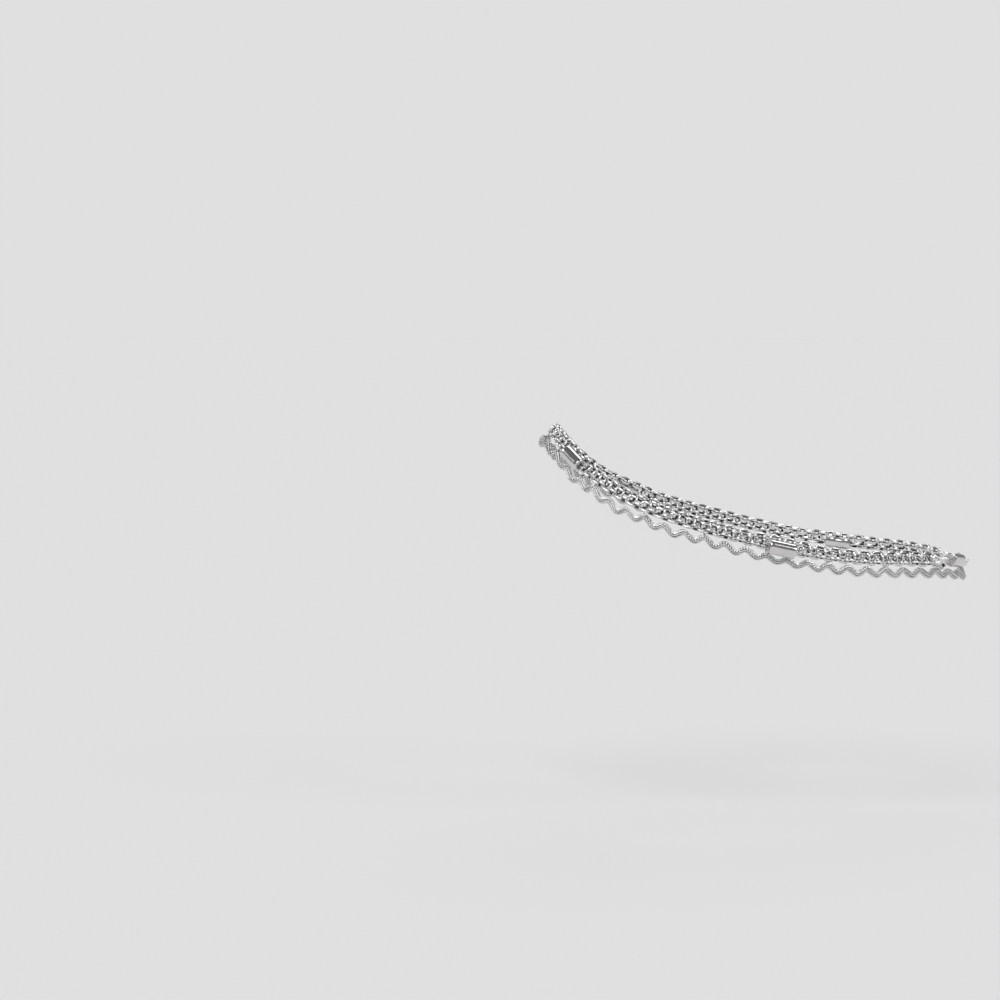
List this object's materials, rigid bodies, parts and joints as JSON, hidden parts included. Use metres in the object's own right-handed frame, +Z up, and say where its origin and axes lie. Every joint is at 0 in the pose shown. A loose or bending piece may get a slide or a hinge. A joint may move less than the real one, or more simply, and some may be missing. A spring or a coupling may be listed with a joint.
{
  "type": "payal anklet",
  "caption": "Silver chain anklet: a band of paired ring chains with barrel beads, a fine wave chain hung in scallops under it, an end barrel and a small clasp.",
  "frame": {"origin": "middle of the ankle's hollow, at the mean height of the band's centre line", "axes": "+X points to the heel, -Y to the side that is seen, +Z up the leg"},
  "size_m": [0.109, 0.0684, 0.0393],
  "materials": {
    "silver_chain": "bright silver chain",
    "polished_silver": "mirror-polished silver",
    "silver_wire": "polished silver wire"
  },
  "bodies": {
    "root": {"upper_row": "silver_chain", "lower_row_1": "silver_chain", "lower_row_2": "silver_chain", "lower_row_3": "silver_chain", "lower_row_4": "silver_chain", "lower_row_5": "silver_chain", "wave_chain": "silver_chain", "barrel_1": "polished_silver", "barrel_2": "polished_silver", "barrel_3": "polished_silver", "barrel_4": "polished_silver", "end_barrel": "polished_silver", "clasp": "polished_silver", "barrel_pin_1": "silver_wire", "barrel_pin_2": "silver_wire", "barrel_pin_3": "silver_wire", "barrel_pin_4": "silver_wire", "end_link_1": "silver_wire", "end_link_2": "silver_wire", "jump_ring_1": "silver_wire", "jump_ring_2": "silver_wire", "jump_ring_3": "silver_wire"}
  },
  "joints": []
}
